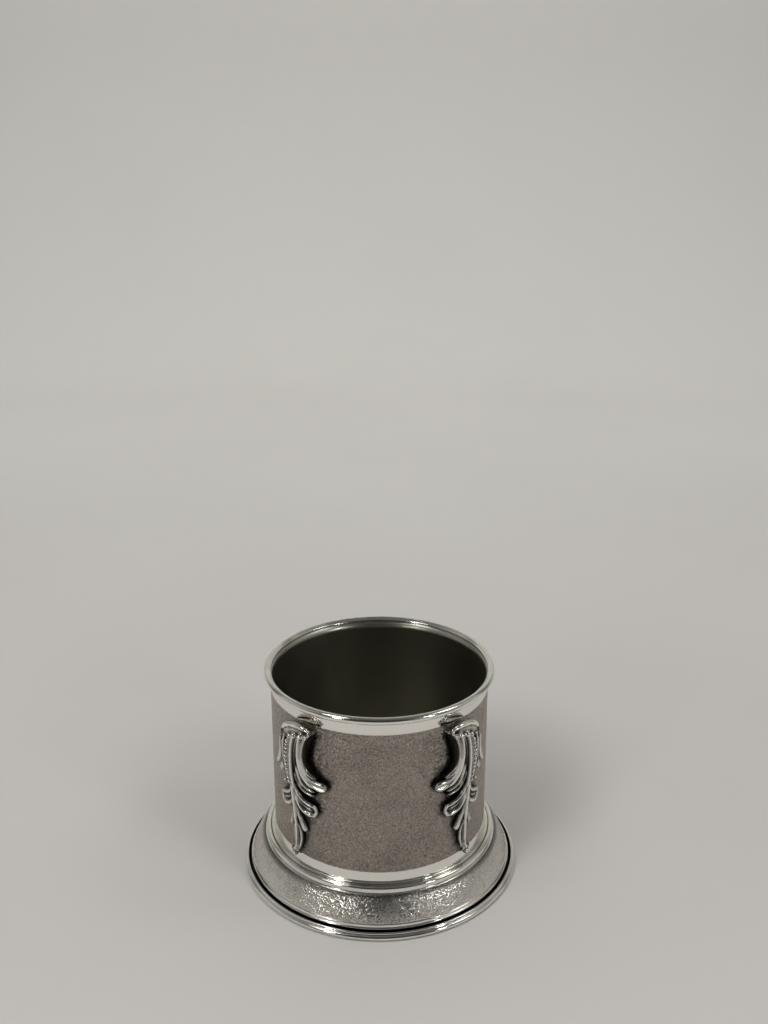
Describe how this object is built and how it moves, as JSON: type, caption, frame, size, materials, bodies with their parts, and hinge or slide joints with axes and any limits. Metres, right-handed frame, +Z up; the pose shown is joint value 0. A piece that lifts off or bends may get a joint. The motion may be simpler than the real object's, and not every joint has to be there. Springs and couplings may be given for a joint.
{
  "type": "wine bottle coaster",
  "caption": "Silver bottle coaster: straight stippled cup with a round polished rim, cast acanthus leaves and a flared, beaded foot that a wine bottle stands in.",
  "frame": {"origin": "centre of the underside, on the table", "axes": "+Z up along the axis of the cup, -Y towards the front panel between two leaves"},
  "size_m": [0.1308, 0.1308, 0.1013],
  "materials": {
    "polished_silver": "polished silver with faint wiping marks",
    "stippled_silver": "matt stippled silver between polished bands",
    "cast_silver": "polished casting, darker in its hollows",
    "baize": "short dark felt"
  },
  "bodies": {
    "root": {"wall_sleeve": "stippled_silver", "rim_bead": "polished_silver", "floor_pan": "polished_silver", "upper_bead": "polished_silver", "lower_bead": "polished_silver", "foot_skirt": "stippled_silver", "lip_wire": "polished_silver", "foot_ring": "polished_silver", "base_plate": "polished_silver", "baize_pad": "baize", "leaf_front_left": "cast_silver", "leaf_front_right": "cast_silver", "leaf_back_right": "cast_silver", "leaf_back_left": "cast_silver"}
  },
  "joints": []
}
